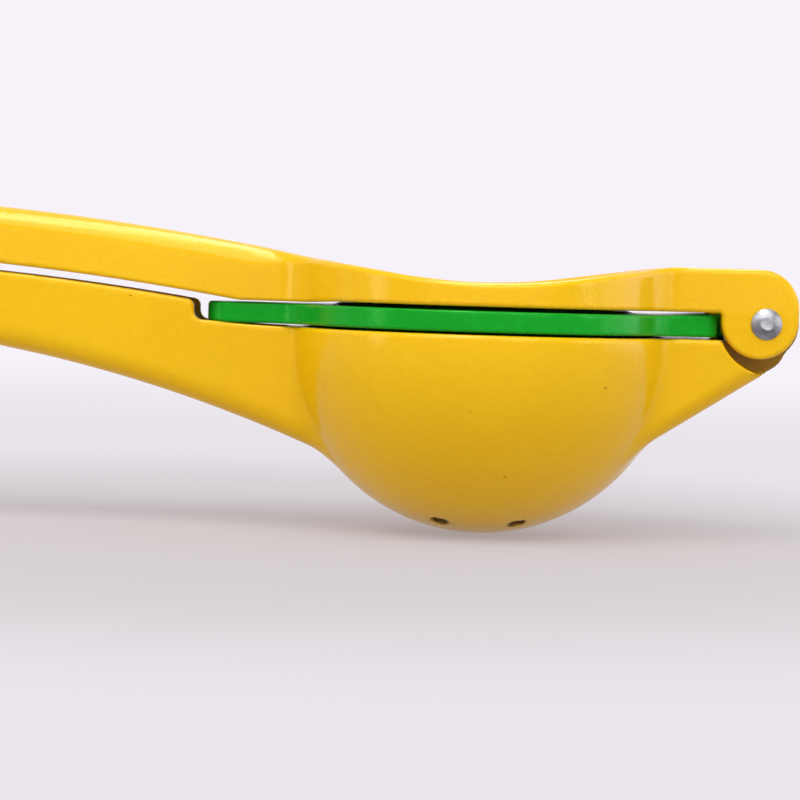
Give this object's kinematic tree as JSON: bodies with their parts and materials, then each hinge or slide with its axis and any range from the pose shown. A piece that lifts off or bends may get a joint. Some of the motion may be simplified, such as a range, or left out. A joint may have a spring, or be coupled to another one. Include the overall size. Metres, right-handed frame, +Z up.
{
  "type": "hinged citrus squeezer",
  "caption": "Hand-held citrus squeezer: a lemon bowl and a domed press on long handles, with a lime cup between them, all turning on a rivet.",
  "frame": {"origin": "on the ground, under the middle of the shut tool's box; the bowl's lowest point touches the ground", "axes": "+X from the handle ends to the hinge, +Y along the rivet, +Z up, with the lemon bowl's mouth level"},
  "size_m": [0.2194, 0.08, 0.0664],
  "materials": {
    "yellow_enamel": "gloss",
    "green_enamel": "gloss",
    "bare_aluminium": "satin"
  },
  "bodies": {
    "lemon_bowl": {"lemon_bowl_casting": "yellow_enamel"},
    "lime_cup": {"lime_cup_casting": "green_enamel"},
    "press": {"press_casting": "yellow_enamel", "hinge_rivet": "bare_aluminium"}
  },
  "joints": [
    {"name": "lime_cup_hinge", "type": "hinge", "parent": "lemon_bowl", "child": "lime_cup", "pos_m": [0.1019, 0, 0.0453], "axis": [0, 1, 0], "range_deg": [0, 60]},
    {"name": "press_hinge", "type": "hinge", "parent": "lime_cup", "child": "press", "pos_m": [0.1019, 0, 0.0453], "axis": [0, 1, 0], "range_deg": [0, 90]}
  ]
}
